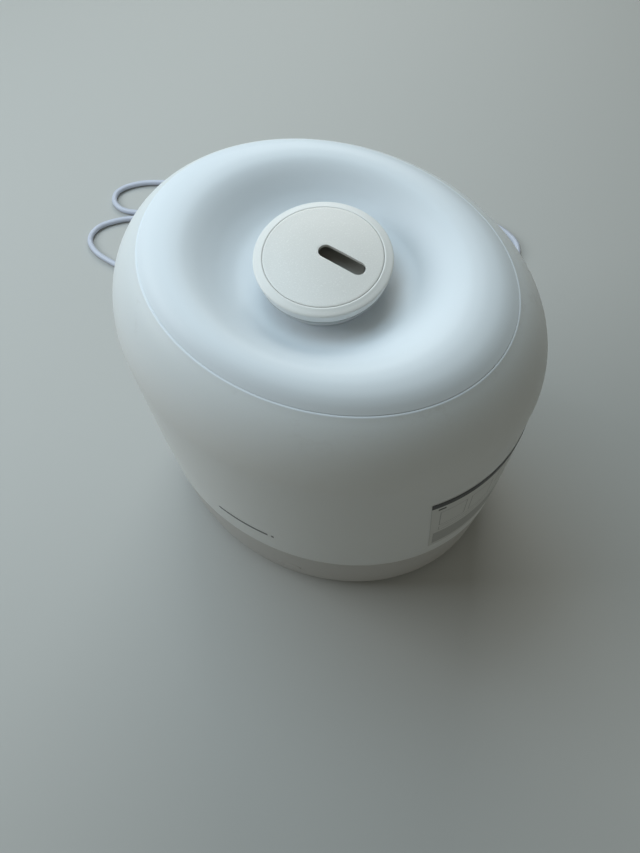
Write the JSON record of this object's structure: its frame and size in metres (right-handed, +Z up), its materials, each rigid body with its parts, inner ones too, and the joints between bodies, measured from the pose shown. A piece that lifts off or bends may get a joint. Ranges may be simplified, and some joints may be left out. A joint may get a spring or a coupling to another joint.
{
  "type": "cool mist humidifier",
  "caption": "Oval cool mist humidifier: base with fan, basin and cable, lift-off frosted water tank, dished top cover and a turning, slotted mist nozzle.",
  "frame": {"origin": "centre of the footprint, on the surface the feet stand on", "axes": "+X along the long axis towards the rating label, -Y is the front with the button, +Z up"},
  "size_m": [0.3838, 0.3322, 0.23],
  "materials": {
    "frosted_tank": "frosted satin",
    "cover_white": "satin",
    "nozzle_white": "fine texture",
    "base_white": "satin",
    "inner_white": "satin",
    "baffle_grey": "satin",
    "silicone": "matt",
    "rubber_grey": "matt",
    "steel": "zinc plated",
    "board_green": "solder mask",
    "black_plastic": "satin",
    "cord_white": "smooth PVC",
    "label_grey": "gloss film",
    "ceramic": "fired ceramic",
    "aluminium": "milled"
  },
  "bodies": {
    "base": {"base_housing": "base_white", "bottom_plate": "base_white", "bottom_screw_1": "steel", "bottom_screw_2": "steel", "bottom_screw_3": "steel", "bottom_screw_4": "steel", "rubber_foot_1": "rubber_grey", "rubber_foot_2": "rubber_grey", "rubber_foot_3": "rubber_grey", "rubber_foot_4": "rubber_grey", "board_standoff_1": "inner_white", "board_standoff_2": "inner_white", "board_standoff_3": "inner_white", "board_standoff_4": "inner_white", "control_board": "board_green", "heat_sink": "aluminium", "board_capacitor_1": "black_plastic", "board_capacitor_2": "black_plastic", "board_coil": "steel", "button_switch": "black_plastic", "button_board": "board_green", "water_basin": "inner_white", "transducer_seal": "silicone", "transducer_disc": "ceramic", "transducer_retainer": "aluminium", "valve_pin": "inner_white", "float_post": "inner_white", "fan_frame": "black_plastic", "air_duct": "inner_white", "cable_gland": "cord_white", "power_cord": "cord_white", "plug_grip": "cord_white", "plug_shell": "steel"},
    "tank": {"tank_shell": "frosted_tank", "tank_floor": "frosted_tank", "mist_tube": "frosted_tank", "tank_foot_seal": "silicone", "valve_cap": "inner_white", "valve_spring": "steel", "rating_label": "label_grey"},
    "valve": {"valve_plunger": "inner_white", "valve_seal": "silicone"},
    "cover": {"top_cover": "cover_white", "cover_gasket": "silicone"},
    "collar": {"nozzle_collar": "inner_white"},
    "nozzle": {"nozzle_ring": "nozzle_white", "nozzle_disc": "nozzle_white", "splash_baffle": "baffle_grey"},
    "fan": {"fan_rotor": "black_plastic"},
    "float": {"water_float": "nozzle_white", "float_magnet": "black_plastic"},
    "button": {"power_button": "nozzle_white"}
  },
  "joints": [
    {"name": "tank_lift", "type": "slide", "parent": "base", "child": "tank", "axis": [0, 0, 1], "range_m": [0, 0.12]},
    {"name": "cover_lift", "type": "slide", "parent": "tank", "child": "cover", "axis": [0, 0, 1], "range_m": [0, 0.08]},
    {"name": "nozzle_lift", "type": "slide", "parent": "cover", "child": "collar", "axis": [0, 0, 1], "range_m": [0, 0.04]},
    {"name": "nozzle_turn", "type": "hinge", "parent": "collar", "child": "nozzle", "pos_m": [0, 0, 0.2277], "axis": [0, 0, 1], "continuous": true},
    {"name": "valve_press", "type": "slide", "parent": "tank", "child": "valve", "axis": [0, 0, 1], "range_m": [0, 0.0015], "stiffness_N_per_m": 60, "springref_m": -0.003, "deforming": ["valve_spring"]},
    {"name": "float_rise", "type": "slide", "parent": "base", "child": "float", "axis": [0, 0, 1], "range_m": [0, 0.007]},
    {"name": "fan_spin", "type": "hinge", "parent": "base", "child": "fan", "pos_m": [0.056, 0, 0.0142], "axis": [0, 0, 1], "continuous": true},
    {"name": "button_press", "type": "slide", "parent": "base", "child": "button", "axis": [-0.134, 0.991, 0], "range_m": [0, 0.0012], "stiffness_N_per_m": 400, "springref_m": -0.0004}
  ]
}
